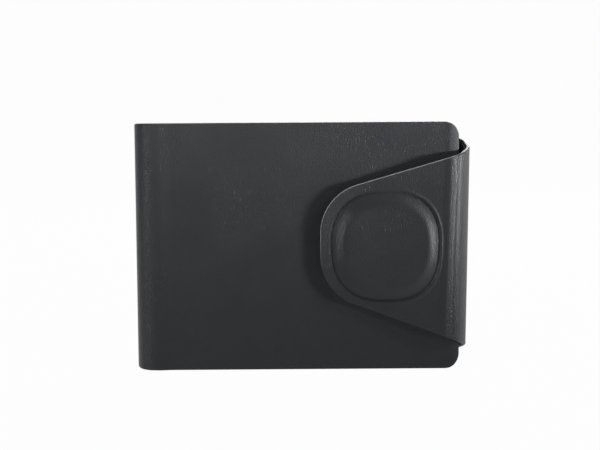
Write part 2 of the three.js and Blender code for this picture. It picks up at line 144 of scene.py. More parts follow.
run_steps = MOVES[:, :1] * ahead(HEADINGS[:-1])
bend_steps = MOVES[:, 1:2] * (outward(HEADINGS[1:]) - outward(HEADINGS[:-1]))
free_edge = [FRONT_RUN + CURL_RADIUS * np.sin(CURL_ANGLE), CURL_RADIUS * (1 - np.cos(CURL_ANGLE))]
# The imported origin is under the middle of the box, so the path is moved to where the lining and spine are.
spine_side, lining_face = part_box("spine")[0][0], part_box("front_lining")[0][1]
origin = METRE * np.array([spine_side, lining_face]) + [SPINE_RADIUS, -LINING_DEPTH]
CORNERS = origin + np.cumsum(np.vstack([free_edge, run_steps + bend_steps]), 0)
print("length of the whole strip, mm:", round(STARTS[-1], 1), " tip at:", CORNERS[-1].round(2))


# %% A point of the path
def plan(s):
    """Point and outward vector of the hide's outer face at the distances s along it, the same at every height.
    On a run p = p0 + d (cos h, sin h); in a bend h = h0 - d / R and p = p0 + R (n(h) - n(h0))."""
    k = np.clip(np.searchsorted(STARTS, s, side="right") - 1, 0, len(MOVES) - 1)
    d, radius = s - STARTS[k], MOVES[k, 1]
    bent = radius > 0
    heading = HEADINGS[k] - np.where(bent, d / np.where(bent, radius, 1), 0)
    on_run = d[..., None] * ahead(HEADINGS[k])
    in_bend = radius[..., None] * (outward(heading) - outward(HEADINGS[k]))
    return CORNERS[k] + np.where(bent[..., None], in_bend, on_run), outward(heading)


print("fold lines of the flap, mm:", plan(np.array([ROOT_FOLD, FRONT_FOLD]))[0].round(1).tolist())

# %% [markdown]
# ## Where the leather has settled
# Hand-folded leather is never quite square. On the photographed wallet the lower corner of the front cover
# runs further out than the upper one, spine and flap lean a little, and the front bend of the flap is tight
# above, loose below and creased in four places. These are fractions of a millimetre and belong to the looks,
# so they are added here and not in the solids. They could be sculpted, but a small move of x by place and
# height, and a table of curvatures for the bend, can be read and changed.

# %% Front bend with creases
BEND_MARGIN = 5.0  # the bend may grow this far into the runs on either side
SETTLED_RADIUS, LOOSENING = 7.95, 0.8  # at mid height, and how much more at the lower edge of the crease
CREASES = ((0.1, 1.2), (0.585, 1.9), (0.7, 3.0), (0.985, 4.6))  # place in the bend, and curvature there
CREASE_SPAN = 0.025
BETWEEN_CREASES = ((0.0, 0.5), (0.5, 0.62), (0.81, 0.02))  # from this place on, the curvature of the rest
BEND_SAMPLES = 601
FLAP_HALF = FLAP_WIDTH / 2


def ease(x):
    """Smooth step from 0 to 1: t^2 (3 - 2 t), with t held between 0 and 1."""
    t = np.clip(x, 0, 1)
    return t * t * (3 - 2 * t)


def bell(x, width):
    """Bell curve: exp(-(x / width)^2)."""
    return np.exp(-((x / width) ** 2))


def running_total(values, t):
    """Trapezium rule from the first value on."""
    return np.concatenate([[0], np.cumsum((values[1:] + values[:-1]) / 2 * np.diff(t))])


bend_t = np.linspace(0, 1, BEND_SAMPLES)
steps, rest = np.array(BETWEEN_CREASES).T
curvature = rest[np.searchsorted(steps, bend_t, side="right") - 1]
curvature += sum(c * bell(bend_t - at, CREASE_SPAN) for at, c in CREASES)
bend_turn = running_total(curvature, bend_t)
bend_turn *= FRONT_TURN / bend_turn[-1]
bend_ahead = running_total(np.cos(bend_turn), bend_t)
bend_aside = running_total(np.sin(bend_turn), bend_t)
# Shares of the bend's length, from each of its ends to the corner of the runs.
REACH_AFTER = bend_aside[-1] / np.sin(FRONT_TURN)
REACH_BEFORE = bend_ahead[-1] - REACH_AFTER * np.cos(FRONT_TURN)
print("reach of the front bend before and after its corner:", round(REACH_BEFORE, 3), round(REACH_AFTER, 3))


# %% Path round the front bend
def bend_parts(s, z):
    """Distance d from BEND_MARGIN before the front bend, the run before the bend, and the bend's length at
    each height. A larger radius R moves the ends of the bend R tan(turn / 2) from the corner, on average."""
    corner = np.tan(FRONT_TURN / 2)
    reach = BEND_MARGIN + BEND_RADIUS * corner
    radius = SETTLED_RADIUS + LOOSENING * (MIDDLE - z) / FLAP_HALF
    length = 2 * radius * corner / (REACH_BEFORE + REACH_AFTER)
    run = reach - REACH_BEFORE * length
    share = (s - FRONT_BEND + BEND_MARGIN) / (CREASE - FRONT_BEND + 2 * BEND_MARGIN)
    return share * (run + length + reach - REACH_AFTER * length), run, length


def creased_bend(s, z):
    """Path round the front bend: a run, a bend drawn from the table above, and a run."""
    d, run, length = bend_parts(s, z)
    t = np.clip((d - run) / length, 0, 1)
    before = np.minimum(d, run) + length * np.interp(t, bend_t, bend_ahead)
    aside, after = length * np.interp(t, bend_t, bend_aside), np.maximum(d - run - length, 0)
    start = plan(np.array(FRONT_BEND - BEND_MARGIN))[0]
    point = start + before[..., None] * ahead(SIDE_HEADING) - aside[..., None] * outward(SIDE_HEADING)
    out = outward(SIDE_HEADING - np.interp(t, bend_t, bend_turn))
    return point + after[..., None] * ahead(TONGUE_HEADING), out


print("length of the bend at mid height, mm:", round(bend_parts(FRONT_FOLD, MIDDLE)[2], 1))

# %% Swell and pressed lines of the bend
SWELL_RISE, SWELL_RUN = 0.18, 2.4
SWELL_GONE, SWELL_FADE = 4.0, 3.5  # back into the bend
LINES_AT, LINE_DEPTH, LINE_WIDTH = (0.6, 0.81), 0.055, 0.4
LINE_WANDER, SHORT_WAVE, LONG_WAVE = 0.25, 3.7, 8.3  # mm, and mm of height per radian


def bend_relief(s, z):
    """The tongue rises over SWELL_RUN towards the last crease of the bend, and the rise is gone SWELL_GONE
    further back. Two lines inside the bend are pressed in, as bell curves that wander a little with height."""
    d, run, length = bend_parts(s, z)
    back = run + length - d
    swell = SWELL_RISE * ease((back + SWELL_RUN) / SWELL_RUN) * ease((SWELL_GONE - back) / SWELL_FADE)
    wander = LINE_WANDER * np.sin(z / SHORT_WAVE) * np.sin(z / LONG_WAVE)
    lines = sum(bell(d - run - at * length - wander, LINE_WIDTH) for at in LINES_AT)
    return swell - LINE_DEPTH * lines


round_bend = np.linspace(FRONT_BEND, CREASE, BEND_SAMPLES)
print("deepest press in the bend, mm:", bend_relief(round_bend, MIDDLE).min().round(3))

# %% A squarer spine
SPINE_SQUARENESS = 2.6  # 2 is the half circle of the solid


def squarer_spine(s):
    """Offset from the round spine to a superellipse, and its outward vector: sin and cos of the turn, raised
    to 2 / p for the point and to 2 - 2 / p for the vector, with their signs kept."""
    turn = np.clip((s - SPINE) / SPINE_RADIUS, 0, np.pi)
    way = np.stack([np.sin(turn), np.cos(turn)], -1)
    axes = np.stack([ahead(COVER_HEADING), outward(COVER_HEADING)])
    squared = np.sign(way) * np.abs(way) ** (2 / SPINE_SQUARENESS)
    out = np.sign(way) * np.abs(way) ** (2 - 2 / SPINE_SQUARENESS)
    out /= np.linalg.norm(out, axis=-1, keepdims=True)
    return SPINE_RADIUS * (squared - way) @ axes, out @ axes


eighth = np.array(SPINE + SPINE_RADIUS * np.pi / 4)
print("squarer spine, mm outside the half circle:", np.linalg.norm(squarer_spine(eighth)[0]).round(2))

# %% The settled plan
COVER_FLARE, FLARE_END = 0.9, SPINE - 20.0  # lower corner of the front cover, outwards, and where it has gone
SPINE_LEAN, SPINE_SHIFT = 0.32, 0.08  # at the upper edge, and at mid height
LEAN_REACH, LEAN_FADE = 60.0, 50.0  # the lean reaches this far into both covers, and fades over this run
FLAP_LEAN, FLAP_SHIFT = 0.25, -0.2
FLAP_FROM, FLAP_RISE, FLAP_TO, FLAP_FADE = BACK_BEND - 8.0, 16.0, TIP - 8.0, 36.0  # where the flap leans
SIDE_BOW = 0.9  # the narrow side of the flap, outwards between its two bends
BOW_START, BOW_END = BACK_BEND + 2.0, FRONT_BEND + 6.0


def settled(s, z):
    """The plan with the squarer spine and the creased bend, and with x moved by place and height."""
    point, out = plan(s)
    in_spine = ((s > SPINE) & (s < SPINE + np.pi * SPINE_RADIUS))[..., None]
    offset, spine_out = squarer_spine(s)
    point, out = np.where(in_spine, point + offset, point), np.where(in_spine, spine_out, out)
    bent, bent_out = creased_bend(s, z)
    inside = ((s > FRONT_BEND - BEND_MARGIN) & (s < CREASE + BEND_MARGIN))[..., None]
    point, out = np.where(inside, bent, point), np.where(inside, bent_out, out)
    height = (z - MIDDLE) / MIDDLE
    cover = COVER_FLARE * ease((FLARE_END - s) / FRONT_RUN) * (1 - height) / 2
    near_spine = ease((s - SPINE + LEAN_REACH) / LEAN_FADE) * ease((BACK + LEAN_REACH - s) / LEAN_FADE)
    near_flap = ease((s - FLAP_FROM) / FLAP_RISE) * ease((FLAP_TO - s) / FLAP_FADE)
    spine = (SPINE_SHIFT + SPINE_LEAN * height) * near_spine
    flap = (FLAP_SHIFT + FLAP_LEAN * height) * near_flap
    bow = SIDE_BOW * np.sin(np.pi * np.clip((s - BOW_START) / (BOW_END - BOW_START), 0, 1)) ** 2
    return point + (cover + spine + flap + bow)[..., None] * [1, 0], out


def place(s, depth, z):
    """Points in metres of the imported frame, at distance s along the hide, depth inside it and height z."""
    s, z = np.asarray(s, float), np.asarray(z, float)
    point, out = settled(s, z)
    return np.concatenate([point - np.asarray(depth)[..., None] * out, z[..., None]], -1) / METRE


print("lower free corner of the cover, mm:", (METRE * place(0.0, 0.0, 0.0)).round(1))

# %% [markdown]
# ## Outlines
# The strip is trimmed by two heights, a low and a high edge, at each distance along it. The free end of the
# front cover has round corners, and the back cover's edges turn into the taper of the flap, which ends in a
# round tip. Inner sheets are rectangles with round corners. A boolean cut would trim a sheet too, but it
# leaves ragged faces along the cut, while two edges give the grid a clean border of its own.

# %% Edges of the hide
def corner_cut(distance, radius):
    """How far a round corner cuts in at a distance from its end: r - sqrt(r^2 - (r - d)^2)."""
    return radius - np.sqrt(radius**2 - np.clip(radius - distance, 0, radius) ** 2)


def shoulder_cut(s, taper):
    """Cut of the flap's taper: none on the cover, an arc of the shoulder radius, then the straight taper."""
    reach = (HEIGHT - FLAP_WIDTH) / 2
    past = s - (CREASE - reach / np.tan(taper) - SHOULDER_RADIUS * np.tan(taper / 2))
    turn = SHOULDER_RADIUS * np.sin(taper)
    arc = SHOULDER_RADIUS - np.sqrt(SHOULDER_RADIUS**2 - np.clip(past, 0, turn) ** 2)
    return arc + np.tan(taper) * np.maximum(past - turn, 0)


def hide_high(s):
    """High edge of the hide: the height, less the round corner and the taper."""
    return HEIGHT - corner_cut(s, CORNER_RADIUS) - shoulder_cut(s, TOP_TAPER)


def hide_low(s):
    """Low edge of the hide: the round corner plus the taper."""
    return corner_cut(s, CORNER_RADIUS) + shoulder_cut(s, BOTTOM_TAPER)


print("hide at its first flap bend, mm:", [edge(BACK_BEND).round(1) for edge in (hide_low, hide_high)])


# %% Edges of the tongue and of the inner sheets
def tongue_edge(s, side, taper, inset):
    """Edge of the tongue: the taper line, then the arc that touches it and the tongue's end."""
    radius, centre = TIP_RADIUS - inset, TIP - TIP_RADIUS

    def line(at):
        return MIDDLE + side * (FLAP_HALF + np.tan(taper) * (CREASE - at) - inset / np.cos(taper))

    middle = line(centre) - side * radius / np.cos(taper)
    arc = middle + side * np.sqrt(np.clip(radius**2 - (s - centre) ** 2, 0, None))
    return np.where(s > centre + radius * np.sin(taper), arc, line(s))


def tongue_outline(inset=0.0):
    """Low and high edge of the tongue, cut smaller by the inset."""
    return (
        lambda s: tongue_edge(s, -1, BOTTOM_TAPER, inset),
        lambda s: tongue_edge(s, 1, TOP_TAPER, inset),
    )


def rectangle(start, end, foot, top, radius):
    """Low and high edge of a rectangle from start to end with four round corners."""

    def cut(s):
        return corner_cut(np.minimum(s - start, end - s), radius)

    return (lambda s: foot + cut(s)), (lambda s: top - cut(s))


print("flap at the crease, mm:", [edge(np.array([CREASE]))[0].round(1) for edge in tongue_outline()])

# %% [markdown]
# ## A cut sheet
# A cut sheet has two faces and a painted round edge. On a grid of distance along and height, both faces start
# from the middle of the sheet, and half its thickness falls to nothing at a free edge as a semicircle does.
# The grid is closer near the edges. A Solidify modifier could give a wall, but not these round edges.

# %% Grids
EDGE_STEPS = np.array([0, 0.03, 0.1, 0.2, 0.33, 0.48, 0.65, 0.9])  # mm in from a free edge


def spaced(start, end, step, free_start=False, free_end=False):
    """Distances from start to end, about step apart, with close steps at a free end."""
    first = EDGE_STEPS if free_start else EDGE_STEPS[:1]
    last = EDGE_STEPS if free_end else EDGE_STEPS[:1]
    a, b = start + first[-1], end - last[-1]
    between = np.linspace(a, b, max(2, int(np.ceil((b - a) / step)) + 1))
    return np.unique(np.concatenate([start + first, between, end - last]).round(6))


def joined(*parts):
    """All distances of the parts in order, each one once."""
    return np.unique(np.concatenate(parts).round(6))


def rows_between(low, high, step):
    """Heights from low to high for each distance: close steps at both edges and even ones between."""
    lower, upper = low[:, None] + EDGE_STEPS, high[:, None] - EDGE_STEPS[::-1]
    share = np.linspace(0, 1, int(np.ceil((high - low).max() / step)) + 1)[1:-1]
    between = lower[:, -1:] + (upper[:, :1] - lower[:, -1:]) * share
    return np.concatenate([lower, between, upper], 1)


print("distances along the tongue, 1 mm apart:", len(spaced(CREASE, TIP, step=1.0, free_end=True)))

# %% Closed meshes
MAP_UNIT = 100.0  # one unit of the flat map, in millimetres
MERGE = 1e-7  # metres
SHARP = np.radians(60)
print("unit of the flat map, mm:", MAP_UNIT, " sharp edges from, degrees:", np.degrees(SHARP).round())


def put_in_scene(name, data):
    """A new object with this data, linked to the scene."""
    thing = bpy.data.objects.new(name, data)
    bpy.context.scene.collection.objects.link(thing)
    return thing


def closed_mesh(name, outer, inner, flat, marks):
    """Mesh of two grids of points: quads on both faces and walls round the rim. Where the faces meet at an
    edge their points are the same, so the walls there fall away when doubles are merged. Marks are numbers on
    the grid that a finish may read."""
    n, m = outer.shape[:2]
    near = np.arange(n * m).reshape(n, m)
    far = near + n * m
    quads = [
        (near[:-1, :-1], near[:-1, 1:], near[1:, 1:], near[1:, :-1]),
        (far[:-1, :-1], far[1:, :-1], far[1:, 1:], far[:-1, 1:]),
        (near[1:, 0], far[1:, 0], far[:-1, 0], near[:-1, 0]),
        (near[:-1, -1], far[:-1, -1], far[1:, -1], near[1:, -1]),
        (near[0, 1:], near[0, :-1], far[0, :-1], far[0, 1:]),
        (near[-1, :-1], near[-1, 1:], far[-1, 1:], far[-1, :-1]),
    ]
    faces = np.concatenate([np.stack([corner.ravel() for corner in quad], -1) for quad in quads])
    mesh = bpy.data.meshes.new(name)
    mesh.from_pydata(np.concatenate([outer.reshape(-1, 3), inner.reshape(-1, 3)]), [], faces)
    twice = np.concatenate([flat.reshape(-1, 2)] * 2)
    mesh.uv_layers.new(name="flat").data.foreach_set("uv", (twice[faces.ravel()] / MAP_UNIT).ravel())
    for mark, values in marks.items():
        layer = mesh.attributes.new(mark, "FLOAT", "POINT")
        layer.data.foreach_set("value", np.concatenate([values.ravel()] * 2).astype(np.float32))
    work = bmesh.new()
    work.from_mesh(mesh)
    bmesh.ops.remove_doubles(work, verts=work.verts, dist=MERGE)
    work.to_mesh(mesh)
    work.free()
    mesh.shade_smooth()
    mesh.set_sharp_from_angle(angle=SHARP)
    return put_in_scene(name, mesh)


# %% A sheet with round edges
NUDGE = 1e-3  # mm to either side, for the slope of an edge


def flat_face(s, z):
    """No relief: 0 everywhere."""
    return np.zeros_like(z)


def round_half(edge, thickness):
    """Half the thickness at a distance e from a free edge: t / 2 times sqrt(1 - (1 - e / (t / 2))^2)."""
    return thickness / 2 * np.sqrt(1 - (1 - np.clip(2 * edge / thickness, 0, 1)) ** 2)


print("half thickness of the hide from its edge inwards, mm:", round_half(EDGE_STEPS, HIDE).round(2))


def cut_sheet(
    name, s, outline, thickness, depth=0.0, step=0.9, free="", rise=flat_face, hollow=flat_face, **marks
):
    """A sheet on the grid (s, z), with rows step apart. Its middle lies at depth + t / 2, and each face stands
    half the thickness from it, by the distance to the nearest free edge. free names the ends that are free
    too, rise lifts the outer face and hollow the inner one."""
    lo, hi = (edge(s)[:, None] for edge in outline)
    slope_lo, slope_hi = ((edge(s + NUDGE) - edge(s - NUDGE))[:, None] / (2 * NUDGE) for edge in outline)
    z = rows_between(lo[:, 0], hi[:, 0], step)
    along = np.broadcast_to(s[:, None], z.shape)
    edge = np.minimum((z - lo) / np.sqrt(1 + slope_lo**2), (hi - z) / np.sqrt(1 + slope_hi**2))
    if "start" in free:
        edge = np.minimum(edge, along - s[0])
    if "end" in free:
        edge = np.minimum(edge, s[-1] - along)
    half = round_half(edge, thickness)
    centre = (depth(along, z) if callable(depth) else depth) + thickness / 2
    outer = place(along, centre - half - rise(along, z), z)
    inner = place(along, centre + half - hollow(along, z), z)
    marks = {"edge_mm": edge, **{mark: values(along, z) for mark, values in marks.items()}}
    piece = closed_mesh(name, outer, inner, np.stack([along, z], -1), marks)
    print(name, "faces:", len(piece.data.polygons))
    return piece


# %% [markdown]
# ## Finishes
# Each material starts from what the real one is. Nodes could be placed by hand in the editor. Here colours
# are hex values turned to linear light by one function, and one more function adds a node, so a material
# reads as a list of what feeds what.

# %% Helpers for finishes
NOISE, SPREAD, MIX, MATHS = "ShaderNodeTexNoise", "ShaderNodeMapRange", "ShaderNodeMix", "ShaderNodeMath"
FLAT_MAP, BUMP, SURFACE = "ShaderNodeUVMap", "ShaderNodeBump", "ShaderNodeBsdfPrincipled"
ADD, TIMES, TIMES_ADD, LARGER = (
    {"operation": kind} for kind in ("ADD", "MULTIPLY", "MULTIPLY_ADD", "MAXIMUM")
)
FLAT, RGB = {"uv_map": "flat"}, {"data_type": "RGBA"}


def linear(hex_colour):
    """sRGB hex to linear RGBA: c / 12.92 up to 0.04045, else ((c + 0.055) / 1.055) ^ 2.4."""
    srgb = np.array([int(hex_colour[i : i + 2], 16) for i in (1, 3, 5)]) / 255
    return (*np.where(srgb <= 0.04045, srgb / 12.92, ((srgb + 0.055) / 1.055) ** 2.4), 1.0)


def add_node(tree, kind, settings=None, **inputs):
    """Adds a node with its settings, and links or fills its inputs: i3 is the fourth input, else a name."""
    node = tree.nodes.new(kind)
    for key, value in (settings or {}).items():
        setattr(node, key, value)
    for key, value in inputs.items():
        socket = node.inputs[int(key[1:])] if key[1:].isdigit() else node.inputs[key.replace("_", " ")]
        if isinstance(value, bpy.types.NodeSocket):
            tree.links.new(value, socket)
        else:
            socket.default_value = value
    return node


def new_finish(name):
    """An empty material, and its node tree."""
    material = bpy.data.materials.new(name)
    material.use_nodes = True
    material.node_tree.nodes.clear()
    return material, material.node_tree


def show(tree, shader):
    """Gives the shader to the material's surface."""
    add_node(tree, "ShaderNodeOutputMaterial", Surface=shader.outputs[0])


def per_map(millimetres):
    """Scale of a pattern on the flat map, from its real size."""
    return MAP_UNIT / millimetres


print("#808080 in linear light:", round(linear("#808080")[0], 3))

# %% [markdown]
# ### Charcoal calf leather
# The hide is full-grain calf, dyed through to a charcoal black, pressed almost smooth and finished satin.
# What is left for the eye is a fine grain of pebbles and short upright creases, more open in some places,
# soft patches in the dye, and cut edges with a lighter paint. Marks on the mesh change the finish: leather
# that the press drew is burnished, the groove round the dome gets painted shade, partly dye pooled there,
# and the flap's upper edges get a painted highlight. The grain is drawn on the flat pattern, so it runs on
# over every cut between two pieces and stays with the leather when the flap opens.

# %% Grain, dye, paint and wear
GRAIN_WIDTH, GRAIN_STRETCH = 0.5, 0.2  # mm, and width over length of a crease
PEBBLE, DYE_PATCH, OPEN_GRAIN = 0.8, 16.0, 34.0  # mm; the pebble is twice as coarse as calf, so that it shows
CREASED_FROM, CREASED_TO, CREASED_HEIGHT = 0.56, 0.72, -0.6  # the part of a noise that makes a crease
PEBBLE_RIM, PEBBLE_HEIGHT = 0.2, 0.6  # a pebble rises over this share of its cell
OPEN_FROM, OPEN_TO, LEAST_GRAIN, MOST_GRAIN = 0.36, 0.66, 0.5, 0.9
GRAIN_RELIEF = 0.0001  # metres
NOISE_LOW, NOISE_HIGH = 0.3, 0.7  # most of a noise lies between these
SATIN_LESS, SATIN_MORE = 0.04, 0.05  # roughness goes with the patches in the dye
PAINT_FULL, PAINT_END, PAINT_ROUGHNESS = 0.1, 0.34, 0.42  # mm from the edge
BURNISHED_GRAIN, BURNISHED_GLOSS = 0.45, 0.07  # grain left and roughness lost where a press drew the hide
# Painted shade in the groove round the dome, partly dye pooled there, and a painted highlight on upper edges.
GROOVE_DYE_AND_SHADE, EDGE_HIGHLIGHT = "#131415", "#a2a3a5"  # painted groove shade; painted edge highlight
LEATHER_IOR, LEATHER_SPECULAR = 1.46, 0.195
print("pebbles to one unit of the flat map:", per_map(PEBBLE))


# %% Leather
def leather(name, dye, patch, paint, roughness, grain):
    """Creases plus pebbles carry the relief, and the mesh's marks choose between dye, painted groove shade
    and paint, with a painted highlight on the upper edges.
    """
    material, tree = new_finish(name)
    flat = add_node(tree, FLAT_MAP, FLAT).outputs["UV"]
    rim, pressed, rubbed, burnished = (
        add_node(tree, "ShaderNodeAttribute", {"attribute_name": mark}).outputs["Fac"]
        for mark in ("edge_mm", "pressed", "rubbed", "burnished")
    )
    patches = add_node(tree, NOISE, Vector=flat, Scale=per_map(DYE_PATCH), Detail=4.0).outputs["Fac"]
    upright = add_node(tree, "ShaderNodeMapping", Vector=flat, Scale=(1.0, GRAIN_STRETCH, 1.0)).outputs[0]
    creases = add_node(tree, NOISE, Vector=upright, Scale=per_map(GRAIN_WIDTH), Detail=2.0).outputs["Fac"]
    creased = add_node(
        tree, SPREAD, Value=creases, i1=CREASED_FROM, i2=CREASED_TO, i3=0.0, i4=CREASED_HEIGHT
    ).outputs[0]
    cells = add_node(
        tree, "ShaderNodeTexVoronoi", {"feature": "DISTANCE_TO_EDGE"}, Vector=flat, Scale=per_map(PEBBLE)
    ).outputs["Distance"]
    pebble = add_node(tree, SPREAD, Value=cells, i1=0.0, i2=PEBBLE_RIM, i3=0.0, i4=PEBBLE_HEIGHT).outputs[0]
    height = add_node(tree, MATHS, ADD, i0=creased, i1=pebble).outputs[0]
    open_grain = add_node(tree, NOISE, Vector=flat, Scale=per_map(OPEN_GRAIN), Detail=2.0).outputs["Fac"]
    least, most = LEAST_GRAIN * grain, MOST_GRAIN * grain
    opened = add_node(tree, SPREAD, Value=open_grain, i1=OPEN_FROM, i2=OPEN_TO, i3=least, i4=most).outputs[0]
    kept = add_node(tree, SPREAD, Value=burnished, i1=0.0, i2=1.0, i3=1.0, i4=BURNISHED_GRAIN).outputs[0]
    strength = add_node(tree, MATHS, TIMES, i0=opened, i1=kept).outputs[0]
    bump = add_node(tree, BUMP, Height=height, Strength=strength, Distance=GRAIN_RELIEF).outputs[0]
    painted = add_node(tree, SPREAD, Value=rim, i1=PAINT_FULL, i2=PAINT_END, i3=1.0, i4=0.0).outputs[0]
    dyed = add_node(tree, MIX, RGB, i0=patches, i6=linear(dye), i7=linear(patch)).outputs[2]
    # painted shade in the groove round the dome, partly dye pooled there
    dye_and_groove_shade = add_node(tree, MIX, RGB, i0=pressed, i6=dyed, i7=linear(GROOVE_DYE_AND_SHADE)).outputs[2]
    # edge paint, with a painted highlight mixed in along the flap's upper edges
    edge = add_node(tree, MIX, RGB, i0=rubbed, i6=linear(paint), i7=linear(EDGE_HIGHLIGHT)).outputs[2]
    colour = add_node(tree, MIX, RGB, i0=painted, i6=dye_and_groove_shade, i7=edge).outputs[2]
    least, most = roughness - SATIN_LESS, roughness + SATIN_MORE
    satin = add_node(tree, SPREAD, Value=patches, i1=NOISE_LOW, i2=NOISE_HIGH, i3=least, i4=most).outputs[0]
    sleek = add_node(tree, MATHS, TIMES_ADD, i0=burnished, i1=-BURNISHED_GLOSS, i2=satin).outputs[0]
    gloss = add_node(tree, MIX, i0=painted, i2=sleek, i3=PAINT_ROUGHNESS).outputs[0]
    shine = {"IOR": LEATHER_IOR, "Specular_IOR_Level": LEATHER_SPECULAR}
    show(tree, add_node(tree, SURFACE, Base_Color=colour, Roughness=gloss, Normal=bump, **shine))
    return material


calf = leather(
    "charcoal calf leather", dye="#2d2f31", patch="#333537", paint="#4a4b4d", roughness=0.38, grain=1.0
)
thin_calf = leather(
    "thin black calf leather", dye="#1e1f21", patch="#242527", paint="#3a3b3d", roughness=0.5, grain=0.7
)
print("leather nodes:", len(calf.node_tree.nodes))

# %% [markdown]
# ### Microfibre lining
# The covers and the flap are lined with black microfibre, a felted cloth with a very short nap. It has no
# weave to see: the eye gets a matt, slightly uneven black that lightens at a glancing angle. Hair particles
# could be the nap, but at a third of a millimetre sheen and a low relief do as well.

# %% Lining cloth
NAP, BRUSHED = 0.35, 7.0  # mm: the nap, and the patches that a hand leaves in it
NAP_RELIEF = 0.00008  # metres
CLOTH_SMOOTHEST, CLOTH_ROUGHEST = 0.82, 0.95


def microfibre(name, dye, patch):
    """The nap carries a low relief, and the brushed patches carry colour and roughness."""
    material, tree = new_finish(name)
    flat = add_node(tree, FLAT_MAP, FLAT).outputs["UV"]
    nap = add_node(tree, NOISE, Vector=flat, Scale=per_map(NAP), Detail=3.0).outputs["Fac"]
    brushed = add_node(tree, NOISE, Vector=flat, Scale=per_map(BRUSHED), Detail=3.0).outputs["Fac"]
    colour = add_node(tree, MIX, RGB, i0=brushed, i6=linear(dye), i7=linear(patch)).outputs[2]
    bump = add_node(tree, BUMP, Height=nap, Strength=0.35, Distance=NAP_RELIEF).outputs[0]
    rough = add_node(
        tree, SPREAD, Value=brushed, i1=NOISE_LOW, i2=NOISE_HIGH, i3=CLOTH_SMOOTHEST, i4=CLOTH_ROUGHEST
    ).outputs[0]
    soft = {"Specular_IOR_Level": 0.2, "Sheen_Weight": 0.05, "Sheen_Roughness": 0.4}
    show(tree, add_node(tree, SURFACE, Base_Color=colour, Roughness=rough, Normal=bump, **soft))
    return material


cloth = microfibre("black microfibre lining", dye="#0c0c0d", patch="#131314")
print("cloth nodes:", len(cloth.node_tree.nodes))

# %% [markdown]
# ### The hidden hard pieces
# Inside the leather are fibre board, a foam insert, a nickel-plated magnet, and steel for its yoke and
# keeper. Nobody sees them in a whole wallet, but someone who takes the model apart does. Their solids are
# right, so they keep them. These patterns read Object coordinates, because the solids have no map of their
# own.

# %% Board, foam and metal
ROUGHNESS_SPREAD = 0.06
HIDDEN_RELIEF = 0.00005  # metres
EVEN, LENGTHWISE = (1.0, 1.0, 1.0), (0.05, 1.0, 1.0)


def hidden_finish(name, dark, light, metallic, roughness, grain_mm, stretch, relief):
    """Noise of one grain size, stretched along one axis, carries colour, roughness and a low relief."""
    material, tree = new_finish(name)
    at = add_node(tree, "ShaderNodeTexCoord").outputs["Object"]
    drawn = add_node(tree, "ShaderNodeMapping", Vector=at, Scale=stretch).outputs[0]
    grain = add_node(tree, NOISE, Vector=drawn, Scale=METRE / grain_mm, Detail=4.0).outputs["Fac"]
    colour = add_node(tree, MIX, RGB, i0=grain, i6=linear(dark), i7=linear(light)).outputs[2]
    least, most = roughness - ROUGHNESS_SPREAD, roughness + ROUGHNESS_SPREAD
    rough = add_node(tree, SPREAD, Value=grain, i1=NOISE_LOW, i2=NOISE_HIGH, i3=least, i4=most).outputs[0]
    bump = add_node(tree, BUMP, Height=grain, Strength=relief, Distance=HIDDEN_RELIEF).outputs[0]
    show(tree, add_node(tree, SURFACE, Base_Color=colour, Metallic=metallic, Roughness=rough, Normal=bump))
    return material


# Name, two colours, metallic, roughness, grain in mm, stretch and relief; then the nodes that wear it.
hidden = {
    # pressed from felted fibres: matt, brown-grey, flecked
    hidden_finish("pressed fibre board", "#4b4138", "#6d6153", 0.0, 0.9, 0.9, EVEN, 0.5): [
        "front_board",
        "back_board",
    ],
    # die-cut from dense cross-linked foam: fine closed cells
    hidden_finish("black closed-cell foam", "#232325", "#343437", 0.0, 0.85, 0.3, EVEN, 0.6): ["dome_insert"],
    # barrel-plated nickel over the sintered magnet: bright, very slightly clouded
    hidden_finish("nickel plate", "#b4b5b2", "#cbccc8", 1.0, 0.22, 2.5, EVEN, 0.1): ["flap_magnet"],
    # blanked from cold-rolled sheet: rolling lines along one way
    hidden_finish("cold-rolled steel", "#84878a", "#a0a3a6", 1.0, 0.38, 0.4, LENGTHWISE, 0.3): [
        "magnet_yoke",
        "front_keeper",
    ],
}
for finish, nodes in hidden.items():
    for node in nodes:
        mesh = bpy.data.objects[node].data
        mesh.materials.clear()
        mesh.materials.append(finish)
print("hidden pieces dressed:", sum(len(nodes) for nodes in hidden.values()))

# %% [markdown]
# ## The magnet dome
# The tongue is pressed over an insert, which leaves a low flat-topped squircle with S-shaped shoulders. Round
# its foot the press leaves a narrow groove, outside the groove the hide swells a little, and the margin round
# the tip curls off the cover. It could be a sculpted mesh of its own, joined to the tongue. As one height
# over the flat pattern, a function of the distance in from the foot, it stays part of the same sheet.

# %% Height of the dome
DOME_U, DOME_Z = CREASE + DOME_CENTRE, MIDDLE + DOME_LIFT
FOOT_GROWTH, FOOT_SHIFT = 0.5, 0.17  # the pressed foot is a little longer than the insert's, towards the bend
SOFTER_SHOULDER, SOFTER_FROM, SOFTER_RUN = 1.2, DOME_U - 6.0, 14.0  # wider towards the tip
GROOVE_DEPTH, GROOVE_WIDTH = 0.16, 0.42
LIP_RISE, LIP_AT, LIP_WIDTH, LIP_RUN = 0.34, 0.85, 0.46, 12.0  # gone at the dome's middle
TIP_CURL, CURL_REACH, CURL_FROM, CURL_RUN = 0.18, 4.2, DOME_U + 2.0, 12.0


def squircle_distance(u, z, a, b):
    """Distance in from a squircle, taken as (1 - share) times its mean half size, where share =
    (|u / a|^p + |z / b|^p)^(1 / p)."""
    power = np.abs(u / a) ** DOME_SQUARENESS + np.abs(z / b) ** DOME_SQUARENESS
    return (1 - power ** (1 / DOME_SQUARENESS)) * (a + b) / 2


def foot_distance(s, z):
    """Distance in from the foot of the dome on the outer face."""
    a, b = DOME_LENGTH / 2 + FOOT_GROWTH, DOME_WIDTH / 2
    return squircle_distance(s - DOME_U + FOOT_SHIFT, z - DOME_Z, a, b)


